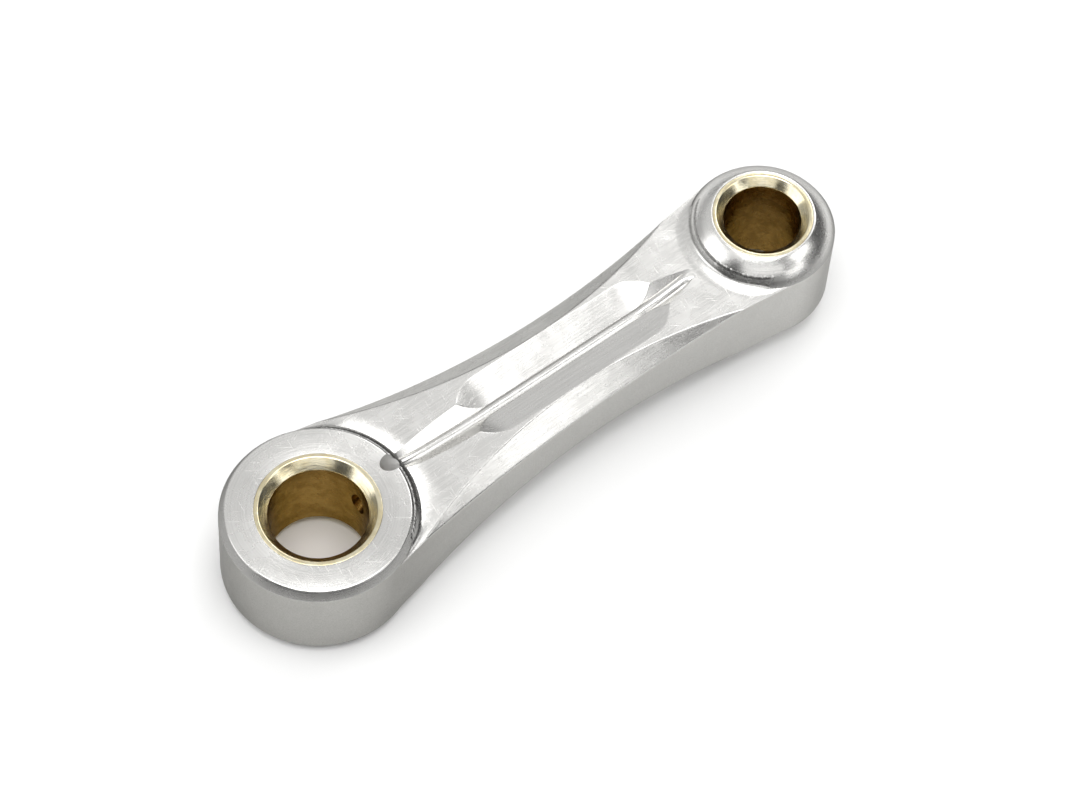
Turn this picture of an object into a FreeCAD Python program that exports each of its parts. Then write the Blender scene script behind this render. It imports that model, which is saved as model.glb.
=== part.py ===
import FreeCAD, Part
import math
import os

# Connecting rod of a small two-stroke model engine.
# A one-piece machined aluminium rod with a plain bronze bush pressed into each end.
#
# Frame, in millimetres: the origin is on the axis of the big end bore, half way through the
# rod's thickness. +X points to the small end, +Z runs along the bores, and the rod is the
# same on both faces, apart from the oil hole, which is drilled from the upper face only.

# ---- driving dimensions ------------------------------------------------------------------

CENTRE_DISTANCE = 28.6          # big end bore axis to small end bore axis

BIG_BORE_R = 2.5                # 5 mm crank pin
BIG_BUSH_R = 3.2                # outside of the bush, and its seat in the rod
BIG_EYE_R = 4.95
BIG_EYE_THICK = 5.6
BIG_RIM_RADIAL = 0.30           # the steep chamfer round the eye's faces
BIG_RIM_AXIAL = 0.52
BIG_BUSH_CHAMFER = 0.48

SMALL_BORE_R = 2.0              # 4 mm gudgeon pin
SMALL_BUSH_R = 2.62
SMALL_EYE_R = 3.85
SMALL_EYE_THICK = 6.7
SMALL_LAND = 0.10               # narrow flat ring between the bush and the domed flank
SMALL_DOME_SAG = 0.08           # how far the domed flank bulges past a straight cone
SMALL_BUSH_CHAMFER = 0.42

BLANK_THICK = 4.3               # the forged blank, between the eyes and under their rims
OUTLINE_ARC_R = 70.0            # the waist: one arc each side, tangent to both eyes

BIG_ROOT_REACH = 1.4            # the hollow flare at the foot of the big eye, outwards
BIG_ROOT_RISE = 0.18            # and how high it climbs the eye's wall
SMALL_ROOT_REACH = 0.9
SMALL_ROOT_RISE = 0.26
ROOT_HOLLOW = 0.22              # sag of the flare's arc, as a share of its rise
ROOT_OVERLAP = 0.3              # how far the flare's ring runs in under the eye

# The bevel along each edge is the mark of a large wheel, tilted across the rod.
BEVEL_WHEEL_R = 50.0
BEVEL_TILT = 36.0               # degrees below level, going outwards
BEVEL_X = 15.3                  # where the bevel is widest
BEVEL_REACH = 2.815             # from the rod's centre line, square to the bevel, at its widest

# The two facets on each face slope down to the centre line and leave a thin rib there.
FACET_TILT = 19.0               # degrees
FACET_START_Y = 0.27
FACET_FLOOR_Z = 1.62            # the facet's inner edge over its level middle stretch
FACET_X = (10.9, 20.1)          # ends of the level stretch
FACET_RUNOUT_R = (4.5, 4.5)     # how the cutter rises out of the cut at each end

# The channel either side of the rib runs on past the facets, from eye to eye.
CHANNEL_TILT = 36.0
CHANNEL_START_Y = 0.27
CHANNEL_FLOOR_Z = 1.62
CHANNEL_X = (10.2, 19.4)
CHANNEL_RUNOUT_R = (45.0, 24.0)
RIB_HALF_WIDTH = 0.27
RIB_HEIGHT = 0.12               # the rib's top above the channel's floor

# The oil hole is drilled on a slant, through the big eye's rim at the end of the rib.
OIL_HOLE_R = 0.5
OIL_HOLE_SLANT = 45.0           # degrees above level
OIL_HOLE_Z = 0.70               # where its axis meets the wall of the bore

CUT_CLEAR = 6.0                 # how far a cutter runs on past the metal that it removes
RUNOUT_HEIGHT = 1.6             # every cutter's path rises clear of the blank's face
RELIEF_CLEAR = 0.1


def vec(x, y, z):
    return FreeCAD.Vector(x, y, z)


def line(a, b):
    return Part.LineSegment(a, b).toShape()


def arc(a, middle, b):
    return Part.Arc(a, middle, b).toShape()


def face_of(edges):
    return Part.Face(Part.Wire(Part.__sortEdges__(edges)))


def turned(profile, x):
    """A solid of revolution about the vertical axis at x, from a closed list of (radius, z)."""
    points = [vec(x + r, 0, z) for r, z in profile]
    wire = Part.makePolygon(points + points[:1])
    return Part.Face(wire).revolve(vec(x, 0, 0), vec(0, 0, 1), 360)


def mirrored_four(shape):
    """The shape and its mirror images across the XZ plane and the XY plane."""
    other_side = shape.mirror(vec(0, 0, 0), vec(0, 1, 0))
    pair = [shape, other_side]
    return pair + [s.mirror(vec(0, 0, 0), vec(0, 0, 1)) for s in pair]


# ---- the blank ---------------------------------------------------------------------------

def waist_centre():
    """Centre of the waist arc on the +Y side, which touches both eyes from outside."""
    to_big = OUTLINE_ARC_R + BIG_EYE_R
    to_small = OUTLINE_ARC_R + SMALL_EYE_R
    x = (CENTRE_DISTANCE ** 2 + to_big ** 2 - to_small ** 2) / (2 * CENTRE_DISTANCE)
    return vec(x, math.sqrt(to_big ** 2 - x ** 2), 0)


def outline_face():
    centre = waist_centre()
    small_centre = vec(CENTRE_DISTANCE, 0, 0)
    big_touch = centre * (BIG_EYE_R / centre.Length)
    toward = centre - small_centre
    small_touch = small_centre + toward * (SMALL_EYE_R / toward.Length)
    waist_top = centre - vec(0, OUTLINE_ARC_R, 0)

    def flip(v):
        return vec(v.x, -v.y, 0)

    return face_of([
        arc(big_touch, waist_top, small_touch),
        arc(small_touch, vec(CENTRE_DISTANCE + SMALL_EYE_R, 0, 0), flip(small_touch)),
        arc(flip(small_touch), flip(waist_top), flip(big_touch)),
        arc(flip(big_touch), vec(-BIG_EYE_R, 0, 0), big_touch)])


def outline_prism(thick):
    prism = outline_face().extrude(vec(0, 0, thick))
    prism.translate(vec(0, 0, -thick / 2))
    return prism


# ---- cutters for the shank ---------------------------------------------------------------

def bevel_wheel():
    """The wheel that cuts the +Y upper bevel: a short wide cylinder, tilted."""
    wheel = Part.makeCylinder(BEVEL_WHEEL_R, 2 * CUT_CLEAR,
                              vec(BEVEL_X, -CUT_CLEAR, BEVEL_WHEEL_R), vec(0, 1, 0))
    wheel.rotate(vec(0, 0, 0), vec(1, 0, 0), -BEVEL_TILT)
    tilt = math.radians(BEVEL_TILT)
    wheel.translate(vec(0, BEVEL_REACH * math.sin(tilt), BEVEL_REACH * math.cos(tilt)))
    return wheel


def cutter_path_face(span, runout_r):
    """Side view of a cut: level over the span, then rising in an arc at each end."""
    start = vec(span[0], 0, 0)
    end = vec(span[1], 0, 0)

    def on_arc(foot, sign, radius, share):
        turn = share * math.acos(1 - RUNOUT_HEIGHT / radius)
        return foot + vec(sign * radius * math.sin(turn), 0, radius * (1 - math.cos(turn)))

    left = on_arc(start, -1, runout_r[0], 1)
    right = on_arc(end, 1, runout_r[1], 1)
    return face_of([
        arc(left, on_arc(start, -1, runout_r[0], 0.5), start),
        line(start, end),
        arc(end, on_arc(end, 1, runout_r[1], 0.5), right),
        line(right, left)])


def tilted_cutter(path, tilt, start_y, floor_z):
    """The path swept outwards from beside the rib, rising at the tilt angle."""
    cutter = path.extrude(vec(0, CUT_CLEAR, 0))
    cutter.rotate(vec(0, 0, 0), vec(1, 0, 0), tilt)
    cutter.translate(vec(0, start_y, floor_z))
    return cutter


def rib_relief():
    """Takes the rib's top down to its height above the channel, along the same path."""
    path = cutter_path_face(CHANNEL_X, CHANNEL_RUNOUT_R)
    half = RIB_HALF_WIDTH + RELIEF_CLEAR
    relief = path.extrude(vec(0, 2 * half, 0))
    relief.translate(vec(0, -half, CHANNEL_FLOOR_Z + RIB_HEIGHT))
    return relief


def shank_cutters():
    facet_path = cutter_path_face(FACET_X, FACET_RUNOUT_R)
    channel_path = cutter_path_face(CHANNEL_X, CHANNEL_RUNOUT_R)
    facet = tilted_cutter(facet_path, FACET_TILT, FACET_START_Y, FACET_FLOOR_Z)
    channel = tilted_cutter(channel_path, CHANNEL_TILT, CHANNEL_START_Y, CHANNEL_FLOOR_Z)
    relief = rib_relief()
    cutters = mirrored_four(bevel_wheel()) + mirrored_four(facet) + mirrored_four(channel)
    return cutters + [relief, relief.mirror(vec(0, 0, 0), vec(0, 0, 1))]


# ---- the eyes ----------------------------------------------------------------------------

def big_eye():
    top = BIG_EYE_THICK / 2
    corner = top - BIG_RIM_AXIAL
    return turned([(0, -top), (BIG_EYE_R - BIG_RIM_RADIAL, -top), (BIG_EYE_R, -corner),
                   (BIG_EYE_R, corner), (BIG_EYE_R - BIG_RIM_RADIAL, top), (0, top)], 0)


def arc_middle(a, b, sag):
    """The middle point, as (radius, z), of an arc from a to b that bulges by sag to the left
    of the way from a."""
    along = (b[0] - a[0], b[1] - a[1])
    length = math.hypot(*along)
    return ((a[0] + b[0]) / 2 - along[1] / length * sag,
            (a[1] + b[1]) / 2 + along[0] / length * sag)


def small_eye():
    """Domed flanks that fall from the bush to the blank's faces."""
    x = CENTRE_DISTANCE
    top = SMALL_EYE_THICK / 2
    foot = BLANK_THICK / 2
    land_r = SMALL_BUSH_R + SMALL_LAND
    crown = (land_r, top)
    rim = (SMALL_EYE_R, foot)
    bulge = arc_middle(crown, rim, SMALL_DOME_SAG)

    def at(r, z):
        return vec(x + r, 0, z)

    profile = face_of([
        line(at(0, -top), at(land_r, -top)),
        arc(at(land_r, -top), at(bulge[0], -bulge[1]), at(SMALL_EYE_R, -foot)),
        line(at(SMALL_EYE_R, -foot), at(SMALL_EYE_R, foot)),
        arc(at(SMALL_EYE_R, foot), at(*bulge), at(land_r, top)),
        line(at(land_r, top), at(0, top)),
        line(at(0, top), at(0, -top))])
    return profile.revolve(vec(x, 0, 0), vec(0, 0, 1), 360)


def small_wall_at(height):
    """Radius of the small eye's flank at a height above the blank's face, taken as a cone."""
    share = height / (SMALL_EYE_THICK / 2 - BLANK_THICK / 2)
    return SMALL_EYE_R + (SMALL_BUSH_R + SMALL_LAND - SMALL_EYE_R) * share


def root_ring(x, head_r, reach, rise):
    """A ring with a hollow upper face, from the eye's wall at head_r out to the shank's face."""
    level = BLANK_THICK / 2
    inner_r = head_r - ROOT_OVERLAP
    foot = (head_r + reach, level)
    head = (head_r, level + rise)
    hollow = arc_middle(foot, head, ROOT_HOLLOW * rise)

    def at(r, z):
        return vec(x + r, 0, z)

    upper = face_of([
        line(at(inner_r, 0), at(foot[0], 0)),
        line(at(foot[0], 0), at(*foot)),
        arc(at(*foot), at(*hollow), at(*head)),
        line(at(*head), at(inner_r, head[1])),
        line(at(inner_r, head[1]), at(inner_r, 0))])
    ring = upper.revolve(vec(x, 0, 0), vec(0, 0, 1), 360)
    return [ring, ring.mirror(vec(0, 0, 0), vec(0, 0, 1))]


def vertical_bore(x, radius):
    half_length = SMALL_EYE_THICK / 2 + CUT_CLEAR
    return Part.makeCylinder(radius, 2 * half_length, vec(x, 0, -half_length))


def oil_hole():
    """The drill, from a point inside the bore, out through the bush and the upper rim."""
    slant = math.radians(OIL_HOLE_SLANT)
    way = vec(math.cos(slant), 0, math.sin(slant))
    start = vec(BIG_BORE_R, 0, OIL_HOLE_Z) - way * (BIG_BORE_R - OIL_HOLE_R)
    return Part.makeCylinder(OIL_HOLE_R, 2 * CUT_CLEAR, start, way)


# ---- the pieces --------------------------------------------------------------------------

def rod_body():
    """The cuts are made after the eyes' flares are added, so that they run on through them."""
    body = outline_prism(BLANK_THICK)
    limit = outline_prism(2 * SMALL_EYE_THICK)
    rings = root_ring(0, BIG_EYE_R, BIG_ROOT_REACH, BIG_ROOT_RISE)
    rings += root_ring(CENTRE_DISTANCE, small_wall_at(SMALL_ROOT_RISE), SMALL_ROOT_REACH,
                       SMALL_ROOT_RISE)
    for ring in rings:
        body = body.fuse(ring.common(limit))
    for cutter in shank_cutters():
        body = body.cut(cutter)
    body = body.fuse(big_eye()).fuse(small_eye())
    body = body.cut(vertical_bore(0, BIG_BUSH_R))
    body = body.cut(vertical_bore(CENTRE_DISTANCE, SMALL_BUSH_R))
    body = body.cut(oil_hole())
    return body.removeSplitter()


def bush(x, bore_r, outer_r, length, chamfer):
    top = length / 2
    return turned([(bore_r, -top + chamfer), (bore_r + chamfer, -top), (outer_r, -top),
                   (outer_r, top), (bore_r + chamfer, top), (bore_r, top - chamfer)], x)


def big_end_bush():
    return bush(0, BIG_BORE_R, BIG_BUSH_R, BIG_EYE_THICK, BIG_BUSH_CHAMFER).cut(oil_hole())


def small_end_bush():
    return bush(CENTRE_DISTANCE, SMALL_BORE_R, SMALL_BUSH_R, SMALL_EYE_THICK,
                SMALL_BUSH_CHAMFER)


os.makedirs("parts", exist_ok=True)
for name, make in (("rod_body", rod_body), ("big_end_bush", big_end_bush),
                   ("small_end_bush", small_end_bush)):
    shape = make()
    solids = shape.Solids
    print(name, "solids", len(solids), "volume %.2f" % shape.Volume, "valid", shape.isValid())
    shape.exportStep("parts/" + name + ".step")
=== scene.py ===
import math

import bmesh
import bpy
from mathutils import Matrix, Vector

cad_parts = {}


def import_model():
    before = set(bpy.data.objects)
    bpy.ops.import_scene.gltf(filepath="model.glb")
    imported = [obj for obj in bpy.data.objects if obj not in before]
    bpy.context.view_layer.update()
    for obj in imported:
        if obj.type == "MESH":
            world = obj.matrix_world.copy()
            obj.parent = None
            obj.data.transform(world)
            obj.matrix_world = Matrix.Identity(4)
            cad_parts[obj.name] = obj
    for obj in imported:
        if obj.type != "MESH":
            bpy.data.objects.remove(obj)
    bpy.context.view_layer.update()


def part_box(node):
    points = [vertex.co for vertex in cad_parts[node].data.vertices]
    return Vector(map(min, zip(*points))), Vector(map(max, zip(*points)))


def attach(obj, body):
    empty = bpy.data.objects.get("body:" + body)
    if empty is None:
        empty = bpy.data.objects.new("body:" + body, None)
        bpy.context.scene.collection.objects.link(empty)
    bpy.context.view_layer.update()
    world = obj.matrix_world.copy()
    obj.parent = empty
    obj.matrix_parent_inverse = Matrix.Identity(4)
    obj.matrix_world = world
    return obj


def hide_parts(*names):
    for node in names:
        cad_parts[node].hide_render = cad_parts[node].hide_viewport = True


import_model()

# A machined model-engine connecting rod with a bronze bush in each end.
# Shapes are worked out in millimetres, in the frame's axes, and scaled to metres last.
MM = 0.001
WELD = 1e-5                     # points closer than this are one point
TINY = 1e-6

# ---- dimensions in millimetres: the outer ones come from the frame --------------------------

rod_low, rod_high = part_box("rod_body")
big_low, big_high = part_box("big_end_bush")
small_low, small_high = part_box("small_end_bush")

CENTRES = (small_low.x + small_high.x) / 2 / MM
BIG_EYE_R = -rod_low.x / MM
SMALL_EYE_R = rod_high.x / MM - CENTRES
BIG_BUSH_R = big_high.y / MM
SMALL_BUSH_R = small_high.y / MM
BIG_TOP = big_high.z / MM
SMALL_TOP = small_high.z / MM
BIG_BORE_R = 2.5
SMALL_BORE_R = 2.0
BIG_CHAMFER = 0.48              # the chamfers at the mouths of the bushes' bores
SMALL_CHAMFER = 0.42
BIG_RIM_RADIAL = 0.30           # the chamfer round the big eye's face
BIG_RIM_AXIAL = 0.52
BIG_FACE_EDGE_R = BIG_EYE_R - BIG_RIM_RADIAL
SMALL_LAND = 0.10               # the narrow flat ring round the small bush
SMALL_DOME_SAG = 0.12           # how far the small eye's flank bulges

FACE_Z = 2.15                   # the blank's flat face
WAIST_R = 70.0                  # the outline's arc between the eyes
BEVEL_WHEEL_R = 50.0            # the wheel that bevels the shank's edges
BEVEL_SLOPE = math.radians(36)
BEVEL_X = 15.3                  # where that wheel cuts deepest
BEVEL_REACH = 2.815             # how near it comes to the rod's axis, square to the bevel
CUT_START_Y = 0.27              # half the width of the centre rib
CUT_FLOOR_Z = 1.62              # the foot of the rib, where facets and channels start
FACET_SLOPE = math.radians(19)
FACET_X = (10.9, 20.1)          # the level stretch of the facet cutter's path
FACET_RUNOUT_R = (4.5, 4.5)     # and the radius of its curve up at each end
CHANNEL_SLOPE = math.radians(36)
CHANNEL_X = (10.2, 19.4)        # the same two, for the narrow channel beside the rib
CHANNEL_RUNOUT_R = (45.0, 24.0)
RIB_HEIGHT = 0.14               # how far the rib's crown stands above its foot
BIG_ROOT_REACH = 1.4            # how far each eye's flare spreads, and how high it climbs
BIG_ROOT_RISE = 0.18
SMALL_ROOT_REACH = 0.9
SMALL_ROOT_RISE = 0.26
ROOT_OVERLAP = 0.12             # how far the flare's face runs on inside the eye
CORNER_FILLET = 0.24            # the tool's round in the corner between a flare and its eye
EDGE_FADE = 0.7                 # the strip along the shank's edge where a flare dies away
OIL_HOLE_R = 0.5
OIL_HOLE_Z = 0.7                # where the hole's axis meets the big bore
OIL_HOLE_SLANT = math.radians(45)
OIL_HOLE_LENGTH = 12.0
SEAT_CLEAR = 0.2                # how far the shank is cleared round each bush's seat
TOOL_HALF_HEIGHT = 9.0

# How far each machined corner is broken.
EDGE_ROUND = 0.07               # along the shank, and round the big eye's face
RIM_ROUND = 0.06                # where the big eye's chamfer meets its wall
FLANK_ROUND = 0.05              # where the small eye's flank meets its wall
LAND_ROUND = 0.04               # where that flank meets the land
CHAMFER_ROUND = 0.05            # both ends of a bush's chamfer
SEAM_ROUND = 0.03               # beside the seam between an eye and its bush

NEAR_STEP = 0.05                # spacing of the shank's cross-sections close to an eye
FAR_STEP = 0.16                 # and between the eyes
RIB_POINTS = 7                  # points over half of the rib's crown
CORNER_POINTS = 5               # points round each of the shank's broken corners
STRETCH_POINTS = (5, 10, 34, 9, 6)     # extra points between them, from the rib to mid height
TURNED_STEPS = 256              # segments round an eye
TURNED_CORNER_STEPS = 4         # segments round each of its broken corners
DRILL_STEPS = 64                # segments round the oil hole
DOME_STEPS = 12                 # segments up the small eye's flank
SHORT_SIDE_SHARE = 0.45         # the most of a short side that a broken corner takes
SMOOTH_ANGLE = math.radians(32)

(FACET_SLOT, BEVEL_SLOT, WALL_SLOT, BIG_FACE_SLOT, SMALL_FACE_SLOT, SEAT_SLOT,
 DRILLED_SLOT) = range(7)
BRONZE_FACE_SLOT, BRONZE_BORE_SLOT = range(2)


# ---- the shank's cross-section --------------------------------------------------------------

def clamp(value, low, high):
    return max(low, min(value, high))


def crossing(a, b):
    """The y at which two lines, each (slope, height at y = 0), meet."""
    return (b[1] - a[1]) / (a[0] - b[0])


def bend(start, corner, stop, t):
    """The point at t, from 0 to 1, on the curve that rounds a corner off."""
    return start * (1 - t) ** 2 + corner * 2 * t * (1 - t) + stop * t ** 2


def waist_centre():
    """Centre of the waist arc on the +Y side, which touches both eyes from outside."""
    to_big = WAIST_R + BIG_EYE_R
    to_small = WAIST_R + SMALL_EYE_R
    x = (CENTRES ** 2 + to_big ** 2 - to_small ** 2) / (2 * CENTRES)
    return x, math.sqrt(to_big ** 2 - x ** 2)


WAIST_X, WAIST_Y = waist_centre()


def half_width(x):
    """From the rod's axis to the shank's wall."""
    return WAIST_Y - math.sqrt(WAIST_R ** 2 - (x - WAIST_X) ** 2)


def path_rise(x, span, runout_r):
    """How far a cutter has risen from the level stretch of its path."""
    before = x < span[0]
    past = span[0] - x if before else max(x - span[1], 0.0)
    radius = runout_r[0] if before else runout_r[1]
    return radius - math.sqrt(radius ** 2 - min(past, radius) ** 2)


# Where the small eye's flare meets its sloping flank.
SMALL_HEAD_R = (SMALL_EYE_R - SMALL_ROOT_RISE * (SMALL_EYE_R - SMALL_BUSH_R - SMALL_LAND)
                / (SMALL_TOP - FACE_Z))


def root_rise(x, y):
    """How far the hollow flare and the corner's fillet at the foot of each eye lift the
    shank's face. Both die away towards the shank's edge."""
    inset = clamp((half_width(x) - abs(y)) / EDGE_FADE, 0.0, 1.0)
    roots = ((0.0, BIG_EYE_R, BIG_ROOT_REACH, BIG_ROOT_RISE),
             (CENTRES, SMALL_HEAD_R, SMALL_ROOT_REACH, SMALL_ROOT_RISE))
    total = 0.0
    for centre, head_r, reach, rise in roots:
        away = max(math.hypot(x - centre, y) - head_r, -ROOT_OVERLAP)
        if away < reach:
            total += rise * (1 - away / reach) ** 2
        if away < CORNER_FILLET:
            total += CORNER_FILLET / 2 * (1 - away / CORNER_FILLET) ** 2
    return total * inset ** 2 * (3 - 2 * inset)


def section_corners(x):
    """Corners of the upper +Y quarter of the section at x, from the rib's foot outwards.
    The channel, the facet, the blank's face and the bevel cross there, and the metal left is
    what lies under all four."""
    channel_rise = path_rise(x, CHANNEL_X, CHANNEL_RUNOUT_R)
    facet_rise = path_rise(x, FACET_X, FACET_RUNOUT_R)
    channel_k = math.tan(CHANNEL_SLOPE)
    facet_k = math.tan(FACET_SLOPE)
    bevel_k = -math.tan(BEVEL_SLOPE)
    sag = BEVEL_WHEEL_R - math.sqrt(BEVEL_WHEEL_R ** 2 - (x - BEVEL_X) ** 2)
    channel_foot = CUT_FLOOR_Z + channel_rise / math.cos(CHANNEL_SLOPE)
    facet_foot = CUT_FLOOR_Z + facet_rise / math.cos(FACET_SLOPE)
    channel = (channel_k, channel_foot - channel_k * CUT_START_Y)
    facet = (facet_k, facet_foot - facet_k * CUT_START_Y)
    bevel = (bevel_k, (BEVEL_REACH + sag) / math.cos(BEVEL_SLOPE))
    face = (0.0, FACE_Z)
    planes = (channel, facet, face, bevel)

    def height(y):
        return min(k * y + c for k, c in planes)

    wide = half_width(x)
    ridge_y = clamp(max(crossing(p, bevel) for p in (channel, facet, face)), CUT_START_Y, wide)
    channel_end = clamp(min(crossing(channel, facet), crossing(channel, face)),
                        CUT_START_Y, ridge_y)
    cut_end = clamp(max(crossing(channel, face), crossing(facet, face)), channel_end, ridge_y)
    return [(y, height(y)) for y in (CUT_START_Y, channel_end, cut_end, ridge_y, wide)]


def broken_corners(points):
    """The polyline with each corner replaced by a small curve, and with extra points along
    each straight stretch. Its two ends stay as they are."""
    path = [Vector(points[0])]
    for i in range(1, len(points)):
        here = Vector(points[i])
        back = Vector(points[i - 1]) - here
        last = i == len(points) - 1
        ahead = Vector((0, 0)) if last else Vector(points[i + 1]) - here
        cut_back = 0 if last else min(EDGE_ROUND, back.length * SHORT_SIDE_SHARE)
        cut_ahead = min(EDGE_ROUND, ahead.length * SHORT_SIDE_SHARE)
        start = here + back.normalized() * cut_back
        stop = here + ahead.normalized() * cut_ahead
        begin = path[-1]
        extra = STRETCH_POINTS[i - 1]
        path += [begin.lerp(start, (k + 1) / (extra + 1)) for k in range(extra)]
        if last:
            path.append(here)
            continue
        for k in range(CORNER_POINTS):
            t = k / (CORNER_POINTS - 1)
            path.append(bend(start, here, stop, t))
    return path


def quarter_section(x):
    """From the rib's crown, out over the cuts and the bevel, and down the wall to mid height.
    Near an eye the flare lifts the face, and the wall stretches with it."""
    corners = section_corners(x)
    wide, edge_z = corners[-1]
    foot_z = corners[0][1]
    crown = min(RIB_HEIGHT, max(FACE_Z - foot_z, 0.0))
    rib = [Vector((CUT_START_Y * k / RIB_POINTS,
                   foot_z + crown * (1 - (k / RIB_POINTS) ** 2))) for k in range(RIB_POINTS)]
    path = rib + broken_corners(corners + [(wide, 0.0)])
    lifted = []
    for y, z in path:
        on_wall = y > wide - TINY
        share = z / edge_z if on_wall else 1.0
        lifted.append((y, z + root_rise(x, y) * share))
    return lifted


def section_ring(x):
    """The whole section as one closed ring, from the quarter and its mirror images."""
    quarter = quarter_section(x)
    upper = [(-y, z) for y, z in reversed(quarter[1:])] + quarter
    lower = [(y, -z) for y, z in reversed(upper[1:-1])]
    return [Vector((x, y, z)) for y, z in upper + lower]


def stations():
    """Where the cross-sections stand, between the points where the waist touches the eyes."""
    big_touch = BIG_EYE_R * WAIST_X / (WAIST_R + BIG_EYE_R)
    small_touch = CENTRES - SMALL_EYE_R * (CENTRES - WAIST_X) / (WAIST_R + SMALL_EYE_R)
    bounds = (big_touch, BIG_EYE_R + BIG_ROOT_REACH, CENTRES - SMALL_EYE_R - SMALL_ROOT_REACH,
              small_touch)
    places = []
    for start, stop, step in zip(bounds, bounds[1:], (NEAR_STEP, FAR_STEP, NEAR_STEP)):
        count = math.ceil((stop - start) / step)
        places += [start + (stop - start) * i / count for i in range(count)]
    return places + [bounds[-1]]


# ---- mesh helpers ---------------------------------------------------------------------------

def object_from(name, bm, materials):
    """Welds the mesh, turns its faces outwards and puts it in the scene."""
    bmesh.ops.remove_doubles(bm, verts=bm.verts, dist=WELD)
    bmesh.ops.recalc_face_normals(bm, faces=bm.faces)
    mesh = bpy.data.meshes.new(name)
    bm.to_mesh(mesh)
    bm.free()
    for material in materials:
        mesh.materials.append(material)
    piece = bpy.data.objects.new(name, mesh)
    bpy.context.scene.collection.objects.link(piece)
    return piece


def shank_mesh():
    """The cross-sections joined into one closed solid, with a slot for each kind of cut."""
    bm = bmesh.new()
    rings = [[bm.verts.new(p) for p in section_ring(x)] for x in stations()]
    for a, b in zip(rings, rings[1:]):
        x = (a[0].co.x + b[0].co.x) / 2
        wall_y = half_width(x) - EDGE_ROUND / 3         # part way round the broken corner
        bevel_y = section_corners(x)[3][0]
        for i in range(len(a)):
            j = (i + 1) % len(a)
            face = bm.faces.new((a[i], a[j], b[j], b[i]))
            y = abs(a[i].co.y + b[j].co.y) / 2
            face.material_index = (WALL_SLOT if y > wall_y else
                                   BEVEL_SLOT if y > bevel_y else FACET_SLOT)
    for ring in (rings[0], rings[-1]):
        bm.faces.new(ring).material_index = SEAT_SLOT
    return bm


def turned_mesh(profile, slots, centre_x=0.0, steps=TURNED_STEPS):
    """A solid of revolution from a closed profile of (radius, z). slots gives the material of
    the stretch that follows each point. Stretches on the axis itself are left out."""
    bm = bmesh.new()
    rings = []
    for s in range(steps):
        turn = 2 * math.pi * (s + 0.5) / steps
        rings.append([bm.verts.new((centre_x + r * math.cos(turn), r * math.sin(turn), z))
                      for r, z in profile])
    count = len(profile)
    for s in range(steps):
        a = rings[s]
        b = rings[(s + 1) % steps]
        for i in range(count):
            j = (i + 1) % count
            if max(profile[i][0], profile[j][0]) > TINY:
                bm.faces.new((a[i], a[j], b[j], b[i])).material_index = slots[i]
    return bm


def rounded_profile(corners):
    """Breaks the corners of a closed profile. Each corner is (radius, z, how far it is broken,
    slot of the stretch that follows)."""
    path = []
    slots = []
    count = len(corners)
    for i in range(count):
        before = Vector(corners[i - 1][:2])
        here = Vector(corners[i][:2])
        after = Vector(corners[(i + 1) % count][:2])
        cut = corners[i][2]
        back = before - here
        ahead = after - here
        if cut == 0:
            path.append(tuple(here))
            slots.append(corners[i][3])
            continue
        reach = min(cut, back.length * SHORT_SIDE_SHARE, ahead.length * SHORT_SIDE_SHARE)
        start = here + back.normalized() * reach
        stop = here + ahead.normalized() * reach
        for k in range(TURNED_CORNER_STEPS + 1):
            t = k / TURNED_CORNER_STEPS
            path.append(tuple(bend(start, here, stop, t)))
            slots.append(corners[i - 1][3] if t < 0.5 else corners[i][3])
    return path, slots


def apply_boolean(target, tool, operation):
    """Adds the tool to the target or cuts it away, and removes the tool."""
    modifier = target.modifiers.new("cut", "BOOLEAN")
    modifier.operation = operation
    modifier.solver = "EXACT"
    modifier.object = tool
    graph = bpy.context.evaluated_depsgraph_get()
    result = bpy.data.meshes.new_from_object(target.evaluated_get(graph))
    old = target.data
    target.modifiers.clear()
    target.data = result
    bpy.data.meshes.remove(old)
    bpy.data.objects.remove(tool)


def finish_piece(piece, node):
    """Scales the piece to metres, shades it and puts it in the CAD node's place."""
    mesh = piece.data
    mesh.transform(Matrix.Scale(MM, 4))
    mesh.shade_smooth()
    mesh.set_sharp_from_angle(angle=SMOOTH_ANGLE)
    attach(piece, "root")
    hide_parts(node)


# ---- materials ------------------------------------------------------------------------------

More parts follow.
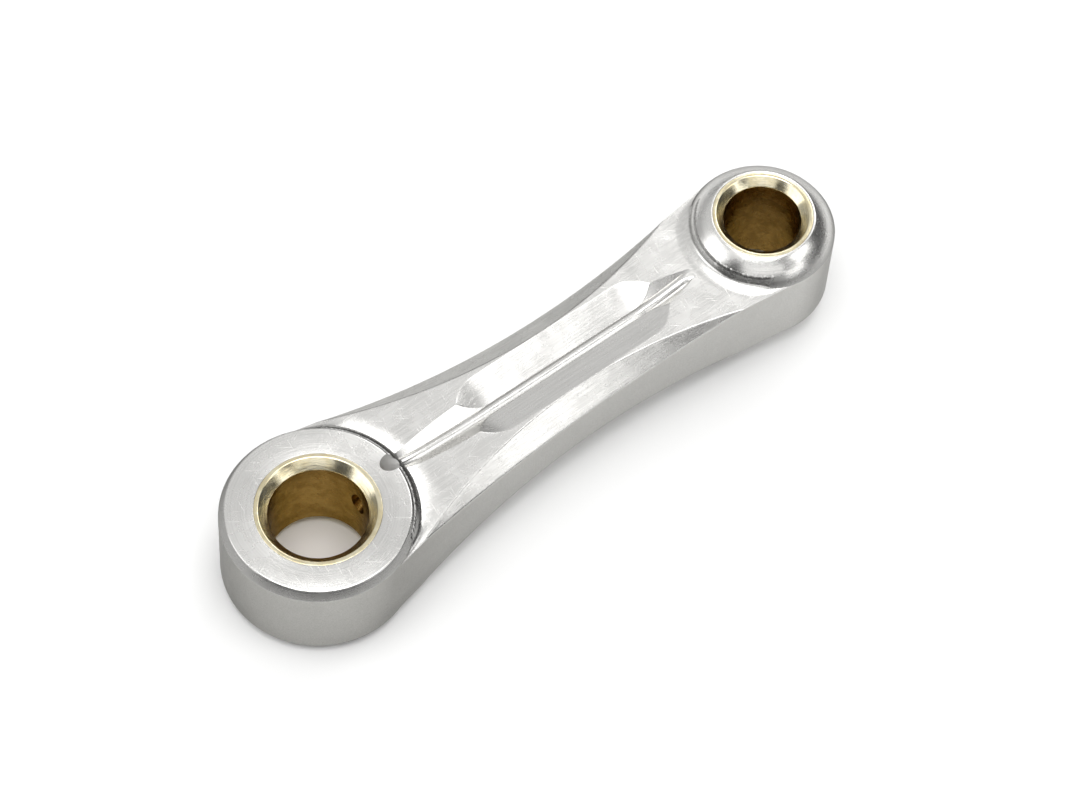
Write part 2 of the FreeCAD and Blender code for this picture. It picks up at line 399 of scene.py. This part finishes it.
class Nodes:
    """Short calls for wiring a material's nodes. Positions are in millimetres."""

    def __init__(self, name):
        self.material = bpy.data.materials.new(name)
        self.material.use_nodes = True
        self.tree = self.material.node_tree
        self.shader = self.tree.nodes["Principled BSDF"]
        coordinates = self.tree.nodes.new("ShaderNodeTexCoord")
        self.place = self.vector_math("MULTIPLY", coordinates.outputs["Object"], (1 / MM,) * 3)

    def link(self, source, socket):
        """Connects a socket, or sets its value where source is a plain number or tuple."""
        if isinstance(source, bpy.types.NodeSocket):
            self.tree.links.new(source, socket)
        else:
            socket.default_value = source

    def math(self, operation, a, b):
        node = self.tree.nodes.new("ShaderNodeMath")
        node.operation = operation
        self.link(a, node.inputs[0])
        self.link(b, node.inputs[1])
        return node.outputs[0]

    def vector_math(self, operation, a, b=(0.0, 0.0, 0.0)):
        node = self.tree.nodes.new("ShaderNodeVectorMath")
        node.operation = operation
        self.link(a, node.inputs[0])
        self.link(b, node.inputs[1])
        return node.outputs["Value" if operation == "LENGTH" else "Vector"]

    def parts(self, vector):
        node = self.tree.nodes.new("ShaderNodeSeparateXYZ")
        self.link(vector, node.inputs[0])
        return node.outputs[0], node.outputs[1], node.outputs[2]

    def join(self, x, y, z):
        node = self.tree.nodes.new("ShaderNodeCombineXYZ")
        for source, socket in zip((x, y, z), node.inputs):
            self.link(source, socket)
        return node.outputs[0]

    def noise(self, vector, scale, detail, roughness=0.5):
        node = self.tree.nodes.new("ShaderNodeTexNoise")
        self.link(vector, node.inputs["Vector"])
        node.inputs["Scale"].default_value = scale
        node.inputs["Detail"].default_value = detail
        node.inputs["Roughness"].default_value = roughness
        return node.outputs[0]

    def remap(self, value, low, high, to_low, to_high):
        """Eases from one value to another as the input goes from low to high."""
        node = self.tree.nodes.new("ShaderNodeMapRange")
        node.interpolation_type = "SMOOTHSTEP"
        for source, socket in zip((value, low, high, to_low, to_high), node.inputs):
            self.link(source, socket)
        return node.outputs[0]

    def outward_from(self, centre_x):
        """The level vector out from an eye's axis."""
        flat = self.vector_math("MULTIPLY", self.place, (1.0, 1.0, 0.0))
        return self.vector_math("SUBTRACT", flat, (centre_x, 0.0, 0.0))

    def squeezed(self, x=1.0, y=1.0, z=1.0):
        """The place with its axes scaled. A noise read there is drawn out along an axis whose
        scale is small."""
        return self.vector_math("MULTIPLY", self.place, (x, y, z))

    def mix_colour(self, share, a, b):
        node = self.tree.nodes.new("ShaderNodeMix")
        node.data_type = "RGBA"
        self.link(share, node.inputs[0])
        self.link(a, node.inputs[6])
        self.link(b, node.inputs[7])
        return node.outputs[2]

    def bump(self, height, depth, normal=None):
        """depth is what a height of 1 stands for, in millimetres."""
        node = self.tree.nodes.new("ShaderNodeBump")
        node.inputs["Strength"].default_value = 1.0
        node.inputs["Distance"].default_value = depth * MM
        self.link(height, node.inputs["Height"])
        if normal is not None:
            self.link(normal, node.inputs["Normal"])
        return node.outputs[0]

    def metal(self, colour, roughness, normal, anisotropy=0.0, tangent=None):
        self.link(colour, self.shader.inputs["Base Color"])
        self.link(roughness, self.shader.inputs["Roughness"])
        self.link(normal, self.shader.inputs["Normal"])
        self.shader.inputs["Metallic"].default_value = 1.0
        self.shader.inputs["Anisotropic"].default_value = anisotropy
        self.shader.inputs["Specular Tint"].default_value = GRAZING_TINT
        if tangent is not None:
            self.link(tangent, self.shader.inputs["Tangent"])
        return self.material


# Each pair is the darker and the lighter tone that the grain wanders between.
FACET_TONES = ((0.76, 0.752, 0.73, 1), (0.84, 0.832, 0.81, 1))
# Painted shade: the bevel's tones are darker than the facet's.
BEVEL_SHADED_TONES = ((0.58, 0.574, 0.555, 1), (0.66, 0.654, 0.635, 1))
# Painted shade: the wall's tones are darker next to the big eye than at the waist.
WALL_SHADED_TONES_AT_EYE = ((0.42, 0.415, 0.395, 1), (0.50, 0.495, 0.475, 1))
WALL_TONES_AT_WAIST = ((0.56, 0.555, 0.535, 1), (0.64, 0.635, 0.615, 1))
BIG_FACE_TONES = ((0.74, 0.732, 0.71, 1), (0.82, 0.812, 0.79, 1))
SMALL_FACE_TONES = ((0.78, 0.772, 0.75, 1), (0.86, 0.852, 0.83, 1))
# The chamfer is paler than the bore: partly the polished bronze's own colour, partly painted
# highlight. The bore's dark tone is painted shade inside the bore.
CHAMFER_TONES = ((0.78, 0.69, 0.46, 1), (0.88, 0.81, 0.60, 1))
BORE_SHADED_TONES = ((0.32, 0.20, 0.06, 1), (0.42, 0.27, 0.085, 1))
SEAT_TONE = (0.6, 0.6, 0.59, 1)
DRILLED_TONE = (0.86, 0.855, 0.84, 1)
PAINTED_SHADE_TONE = (0.26, 0.257, 0.25, 1)      # painted shade: the dark tone laid into the corners at the eyes' feet and towards the rims
GRAZING_TINT = (0.35, 0.35, 0.35, 1)    # keeps the metal from whitening at grazing angles
GRAIN = (0.35, 0.65)                    # the middle of a noise, spread over the whole range
MARKS_DEPTH = -0.001                    # the scratches are grooves, in millimetres
MARKS_ROUGHNESS = 0.05                  # what a scratch adds to the roughness
# Each set of handling scratches: direction in degrees, noise scale, and how long for its width.
SCRATCH_SETS = ((24, 24.0, 30.0), (-38, 21.0, 24.0), (81, 27.0, 36.0))


def scratches(n, direction, scale, stretch):
    """Thin, sparse marks along one direction on the rod's faces, from 0 to 1."""
    x, y, z = n.parts(n.place)
    c = math.cos(direction)
    s = math.sin(direction)
    along = n.math("ADD", n.math("MULTIPLY", x, c), n.math("MULTIPLY", y, s))
    across = n.math("SUBTRACT", n.math("MULTIPLY", y, c), n.math("MULTIPLY", x, s))
    place = n.join(n.math("MULTIPLY", along, 1 / stretch), across, z)
    value = n.noise(place, scale, detail=0.0)
    return n.remap(value, 0.76, 0.84, 0.0, 1.0)


def handling_marks(n):
    """Fine scratches in several directions."""
    total = 0.0
    for degrees, scale, stretch in SCRATCH_SETS:
        total = n.math("MAXIMUM", total, scratches(n, math.radians(degrees), scale, stretch))
    return total


def grained(n, noise, tones):
    return n.mix_colour(n.remap(noise, *GRAIN, 0.0, 1.0), *tones)


def polished_roughness(n, marks):
    return n.math("ADD", mottled(n, 0.24, 0.29), n.math("MULTIPLY", marks, MARKS_ROUGHNESS))


def mottled(n, low, high, scale=0.9):
    """Roughness that wanders between two values in soft patches."""
    return n.remap(n.noise(n.place, scale, detail=4.0, roughness=0.6), 0.3, 0.7, low, high)


def corner_shade(n):
    """How much painted shade darkens the metal: most in the corner at the foot of each eye, and
    not at all beyond the corner's fillet."""
    total = 0.0
    for centre_x, head_r in ((0.0, BIG_EYE_R), (CENTRES, SMALL_HEAD_R)):
        radius = n.vector_math("LENGTH", n.outward_from(centre_x))
        total = n.math("ADD", total, n.remap(radius, head_r, head_r + CORNER_FILLET, 0.75, 0.0))
    return total


def aluminium_milled(name, tones):
    """Faces cut by a wheel that travels along the rod, so its marks run lengthwise."""
    n = Nodes(name)
    lines = n.noise(n.squeezed(x=0.03), 12.0, detail=3.0, roughness=0.6)
    waves = n.noise(n.place, 0.5, detail=1.0)
    marks = handling_marks(n)
    normal = n.bump(waves, 0.03)
    normal = n.bump(lines, 0.003, normal=normal)
    normal = n.bump(marks, MARKS_DEPTH, normal=normal)
    # Painted shade: the tone darkens in the corner at the foot of each eye.
    tone = n.mix_colour(corner_shade(n), grained(n, lines, tones), PAINTED_SHADE_TONE)
    return n.metal(tone, polished_roughness(n, marks), normal)


def aluminium_walls():
    """The profiled edge: upright cutter marks over a satin skin, and painted shade that darkens
    it round the big eye."""
    n = Nodes("aluminium_profiled")
    lines = n.noise(n.squeezed(z=0.08), 7.0, detail=4.0, roughness=0.65)
    grain = n.noise(n.place, 16.0, detail=3.0, roughness=0.6)
    normal = n.bump(lines, 0.012)
    normal = n.bump(grain, 0.004, normal=normal)
    along = n.parts(n.place)[0]
    # Painted shade: the wall's tone darkens towards the big eye.
    tone = n.mix_colour(n.remap(along, 0.0, 2 * BIG_EYE_R, 0.0, 1.0),
                        grained(n, grain, WALL_SHADED_TONES_AT_EYE),
                        grained(n, grain, WALL_TONES_AT_WAIST))
    return n.metal(tone, mottled(n, 0.36, 0.46), normal)


def aluminium_turned(name, centre_x, tones, anisotropy, shade_from, shade_to):
    """Faces turned about a bore: fine rings, and a sheen that fans out from the centre. Painted
    shade darkens the tone between two radii, towards the rim."""
    n = Nodes(name)
    outward = n.outward_from(centre_x)
    radius = n.vector_math("LENGTH", outward)
    height = n.parts(n.place)[2]
    rings = n.noise(n.join(radius, height, 0.0), 10.0, detail=4.0, roughness=0.7)
    waves = n.noise(n.place, 0.6, detail=1.0)
    marks = handling_marks(n)
    normal = n.bump(waves, 0.02)
    normal = n.bump(rings, 0.006, normal=normal)
    normal = n.bump(marks, MARKS_DEPTH, normal=normal)
    # Painted shade: the tone darkens towards the rim.
    tone = n.mix_colour(n.remap(radius, shade_from, shade_to, 0.0, 0.8),
                        grained(n, rings, tones), PAINTED_SHADE_TONE)
    return n.metal(tone, polished_roughness(n, marks), normal, anisotropy,
                   n.vector_math("NORMALIZE", outward))


def aluminium_seat():
    """The bored seats, which the bushes hide."""
    n = Nodes("aluminium_bored")
    rings = n.noise(n.squeezed(x=0.1, y=0.1), 12.0, detail=3.0)
    return n.metal(SEAT_TONE, mottled(n, 0.3, 0.4), n.bump(rings, 0.01))


def aluminium_drilled():
    """The oil hole's rough wall."""
    n = Nodes("aluminium_drilled")
    grain = n.noise(n.place, 14.0, detail=3.0)
    return n.metal(DRILLED_TONE, n.remap(grain, 0.3, 0.7, 0.5, 0.65), n.bump(grain, 0.01))


def bronze(name, tones, low, high):
    """Bearing bronze with fine bored rings and a few darker patches."""
    n = Nodes(name)
    rings = n.noise(n.squeezed(x=0.12, y=0.12), 9.0, detail=4.0, roughness=0.7)
    patches = n.noise(n.place, 1.3, detail=4.0, roughness=0.6)
    tone = n.mix_colour(n.remap(patches, 0.38, 0.62, 0.0, 1.0), *tones)
    return n.metal(tone, mottled(n, low, high, 2.0), n.bump(rings, 0.008))


# One material for each slot, in the slots' order. The turned ones end with their anisotropy
# and the two radii between which painted shade darkens the tone towards the rim.
aluminium = [
    aluminium_milled("aluminium_facet", FACET_TONES),
    aluminium_milled("aluminium_bevel", BEVEL_SHADED_TONES),
    aluminium_walls(),
    aluminium_turned("aluminium_turned_big", 0.0, BIG_FACE_TONES, 0.6,
                     BIG_FACE_EDGE_R - 0.03, BIG_FACE_EDGE_R + 0.05),
    aluminium_turned("aluminium_turned_small", CENTRES, SMALL_FACE_TONES, 0.2,
                     SMALL_EYE_R - 0.4, SMALL_EYE_R),
    aluminium_seat(),
    aluminium_drilled(),
]
bronzes = [
    bronze("bronze_chamfer", CHAMFER_TONES, 0.18, 0.26),
    bronze("bronze_bore", BORE_SHADED_TONES, 0.22, 0.34),
]


# ---- pieces ---------------------------------------------------------------------------------

def dome_points():
    """The small eye's upper flank, from the rim up to the land, as (radius, z). It bulges
    outwards by SMALL_DOME_SAG at its middle."""
    rim = Vector((SMALL_EYE_R, FACE_Z))
    crown = Vector((SMALL_BUSH_R + SMALL_LAND, SMALL_TOP))
    along = crown - rim
    outward = Vector((along.y, -along.x)).normalized()
    points = []
    for k in range(DOME_STEPS + 1):
        t = k / DOME_STEPS
        points.append(rim + along * t + outward * SMALL_DOME_SAG * 4 * t * (1 - t))
    return points


def big_eye():
    """Flat faces with a chamfered rim."""
    corner = BIG_TOP - BIG_RIM_AXIAL
    face = BIG_FACE_SLOT
    corners = [
        (BIG_BUSH_R, -BIG_TOP, SEAM_ROUND, face),
        (BIG_FACE_EDGE_R, -BIG_TOP, EDGE_ROUND, face),
        (BIG_EYE_R, -corner, RIM_ROUND, WALL_SLOT),
        (BIG_EYE_R, corner, RIM_ROUND, face),
        (BIG_FACE_EDGE_R, BIG_TOP, EDGE_ROUND, face),
        (BIG_BUSH_R, BIG_TOP, SEAM_ROUND, SEAT_SLOT),
    ]
    return object_from("big_eye", turned_mesh(*rounded_profile(corners)), aluminium)


def small_eye():
    """Domed flanks that rise from the wall to a narrow land round the bush."""
    face = SMALL_FACE_SLOT
    breaks = [FLANK_ROUND] + [0.0] * (DOME_STEPS - 1) + [LAND_ROUND]
    upper = [(p.x, p.y, cut, face) for p, cut in zip(dome_points(), breaks)]
    lower = [(r, -z, cut, slot) for r, z, cut, slot in reversed(upper)]
    lower[-1] = lower[-1][:3] + (WALL_SLOT,)        # the stretch between the two flanks
    corners = [(SMALL_BUSH_R, -SMALL_TOP, SEAM_ROUND, face)] + lower + upper
    corners.append((SMALL_BUSH_R, SMALL_TOP, SEAM_ROUND, SEAT_SLOT))
    return object_from("small_eye", turned_mesh(*rounded_profile(corners), CENTRES), aluminium)


def cylinder_tool(centre_x, radius):
    """An upright cylinder, taller than the rod."""
    points = [(0.0, -TOOL_HALF_HEIGHT), (radius, -TOOL_HALF_HEIGHT), (radius, TOOL_HALF_HEIGHT),
              (0.0, TOOL_HALF_HEIGHT)]
    return object_from("bore_tool", turned_mesh(points, [SEAT_SLOT] * 4, centre_x), aluminium)


def oil_hole_tool(slot, materials):
    """The slanted drill, from a point inside the bore out past the rim."""
    points = [(0.0, 0.0), (OIL_HOLE_R, 0.0), (OIL_HOLE_R, OIL_HOLE_LENGTH),
              (0.0, OIL_HOLE_LENGTH)]
    bm = turned_mesh(points, [slot] * 4, steps=DRILL_STEPS)
    overrun = BIG_BORE_R - OIL_HOLE_R
    bmesh.ops.translate(bm, verts=bm.verts, vec=(0, 0, -overrun))
    bmesh.ops.transform(bm, verts=bm.verts,
                        matrix=Matrix.Rotation(math.pi / 2 - OIL_HOLE_SLANT, 4, "Y"))
    bmesh.ops.translate(bm, verts=bm.verts, vec=(BIG_BORE_R, 0, OIL_HOLE_Z))
    return object_from("oil_tool", bm, materials)


def rod():
    """The shank, cleared round both seats, with the two bored eyes added and the oil hole
    drilled last."""
    body = object_from("rod_body_metal", shank_mesh(), aluminium)
    apply_boolean(body, cylinder_tool(0.0, BIG_BUSH_R + SEAT_CLEAR), "DIFFERENCE")
    apply_boolean(body, cylinder_tool(CENTRES, SMALL_BUSH_R + SEAT_CLEAR), "DIFFERENCE")
    apply_boolean(body, big_eye(), "UNION")
    apply_boolean(body, small_eye(), "UNION")
    apply_boolean(body, oil_hole_tool(DRILLED_SLOT, aluminium), "DIFFERENCE")
    finish_piece(body, "rod_body")


def bush(name, centre_x, bore_r, outer_r, top, chamfer):
    """A plain sleeve, flush with its eye and chamfered at both ends of its bore."""
    face = BRONZE_FACE_SLOT
    bore = BRONZE_BORE_SLOT
    corners = [
        (bore_r, -top + chamfer, CHAMFER_ROUND, face),
        (bore_r + chamfer, -top, CHAMFER_ROUND, face),
        (outer_r, -top, SEAM_ROUND, face),
        (outer_r, top, SEAM_ROUND, face),
        (bore_r + chamfer, top, CHAMFER_ROUND, face),
        (bore_r, top - chamfer, CHAMFER_ROUND, bore),
    ]
    return object_from(name, turned_mesh(*rounded_profile(corners), centre_x), bronzes)


def big_bush():
    piece = bush("big_bush_bronze", 0.0, BIG_BORE_R, BIG_BUSH_R, BIG_TOP, BIG_CHAMFER)
    apply_boolean(piece, oil_hole_tool(BRONZE_BORE_SLOT, bronzes), "DIFFERENCE")
    finish_piece(piece, "big_end_bush")


def small_bush():
    piece = bush("small_bush_bronze", CENTRES, SMALL_BORE_R, SMALL_BUSH_R, SMALL_TOP,
                 SMALL_CHAMFER)
    finish_piece(piece, "small_end_bush")


rod()
big_bush()
small_bush()


# ---- floor, lights and camera ---------------------------------------------------------------

FLOOR_SIZE = 1.0                        # half the sheet's side, in metres
FLOOR_TONE = (0.96, 0.96, 0.955, 1)
LIGHT_DISTANCE = 0.30                   # metres from the rod's middle
# Each softbox: name, direction from the rod, width and height in metres, and radiance.
SOFTBOXES = (
    ("overhead", (-0.07, -0.10, 1.0), 0.21, 0.21, 3.2),
    ("front", (0.48, -0.61, 0.63), 0.14, 0.12, 2.1),
    ("front_low", (0.24, -0.91, 0.34), 0.14, 0.07, 1.8),
    ("camera_side", (-0.45, -0.75, 0.72), 0.30, 0.12, 1.1),
    ("left", (-0.80, 0.38, 0.47), 0.20, 0.18, 1.7),
    ("right", (0.70, 0.28, 0.64), 0.22, 0.10, 2.7),
)
SKY_LEAN = (0.0, 0.45, 0.89)            # the direction where the sky is brightest
SKY_FADE = (0.40, 0.74)                 # how near to it the light starts and stops rising
SKY_STRENGTH = (0.05, 0.67)             # low down, and overhead


def floor():
    """A pale sheet that touches the big eye's outer edge and the thicker small eye."""
    big_edge = Vector((rod_low.x + BIG_RIM_RADIAL * MM, 0, -big_high.z))
    small_edge = Vector((small_low.x, 0, -small_high.z))
    tilt = math.atan2(big_edge.z - small_edge.z, small_edge.x - big_edge.x)
    bm = bmesh.new()
    bmesh.ops.create_grid(bm, x_segments=2, y_segments=2, size=FLOOR_SIZE)
    mesh = bpy.data.meshes.new("floor")
    bm.to_mesh(mesh)
    bm.free()
    sheet = bpy.data.objects.new("floor", mesh)
    bpy.context.scene.collection.objects.link(sheet)
    sheet.rotation_euler = (0, tilt, 0)
    sheet.location = big_edge
    material = bpy.data.materials.new("floor_paper")
    material.use_nodes = True
    shader = material.node_tree.nodes["Principled BSDF"]
    shader.inputs["Base Color"].default_value = FLOOR_TONE
    shader.inputs["Roughness"].default_value = 0.9
    mesh.materials.append(material)


def softbox(name, direction, width, height, strength):
    """A rectangular light that faces the rod from the given direction. strength is its
    radiance, in the units of the world's background."""
    light = bpy.data.lights.new(name, "AREA")
    light.shape = "RECTANGLE"
    light.size = width
    light.size_y = height
    light.energy = strength * width * height * math.pi
    lamp = bpy.data.objects.new(name, light)
    bpy.context.scene.collection.objects.link(lamp)
    aim = Vector((CENTRES / 2 * MM, 0, 0))
    away = Vector(direction).normalized()
    lamp.location = aim + away * LIGHT_DISTANCE
    lamp.rotation_mode = "QUATERNION"
    lamp.rotation_quaternion = away.to_track_quat("Z", "Y")


def world():
    """A soft dome that leans back: bright overhead, dim low down and at the front."""
    made = bpy.data.worlds.new("studio")
    made.use_nodes = True
    tree = made.node_tree
    place = tree.nodes.new("ShaderNodeTexCoord")
    lean = tree.nodes.new("ShaderNodeVectorMath")
    lean.operation = "DOT_PRODUCT"
    lean.inputs[1].default_value = SKY_LEAN
    fade = tree.nodes.new("ShaderNodeMapRange")
    fade.interpolation_type = "SMOOTHSTEP"
    for socket, value in zip(fade.inputs[1:5], SKY_FADE + SKY_STRENGTH):
        socket.default_value = value
    tree.links.new(place.outputs["Generated"], lean.inputs[0])
    tree.links.new(lean.outputs["Value"], fade.inputs[0])
    tree.links.new(fade.outputs[0], tree.nodes["Background"].inputs["Strength"])
    tree.nodes["Background"].inputs["Color"].default_value = (1, 1, 1, 1)
    bpy.context.scene.world = made


def camera():
    """High above the rod, in front of it and on the big eye's side, with a long lens."""
    azimuth = math.radians(-42.04)
    elevation = math.radians(58.61)
    roll = math.radians(4.42)
    distance = 214.2 * MM
    aim = Vector((13.55 * MM, -0.17 * MM, 0))
    back = Vector((math.sin(azimuth) * math.cos(elevation),
                   -math.cos(azimuth) * math.cos(elevation), math.sin(elevation)))
    level = Vector((math.cos(azimuth), math.sin(azimuth), 0))
    upward = back.cross(level)
    right = level * math.cos(roll) + upward * math.sin(roll)
    up = upward * math.cos(roll) - level * math.sin(roll)
    data = bpy.data.cameras.new("camera")
    data.sensor_width = 36.0
    data.lens = 141.7
    data.clip_start = 0.01
    data.clip_end = 10
    eye = bpy.data.objects.new("camera", data)
    bpy.context.scene.collection.objects.link(eye)
    turn = Matrix((right, up, back)).transposed().to_4x4()
    eye.matrix_world = Matrix.Translation(aim + back * distance) @ turn
    bpy.context.scene.camera = eye


floor()
world()
for settings in SOFTBOXES:
    softbox(*settings)
camera()
bpy.context.scene.view_settings.view_transform = "Standard"
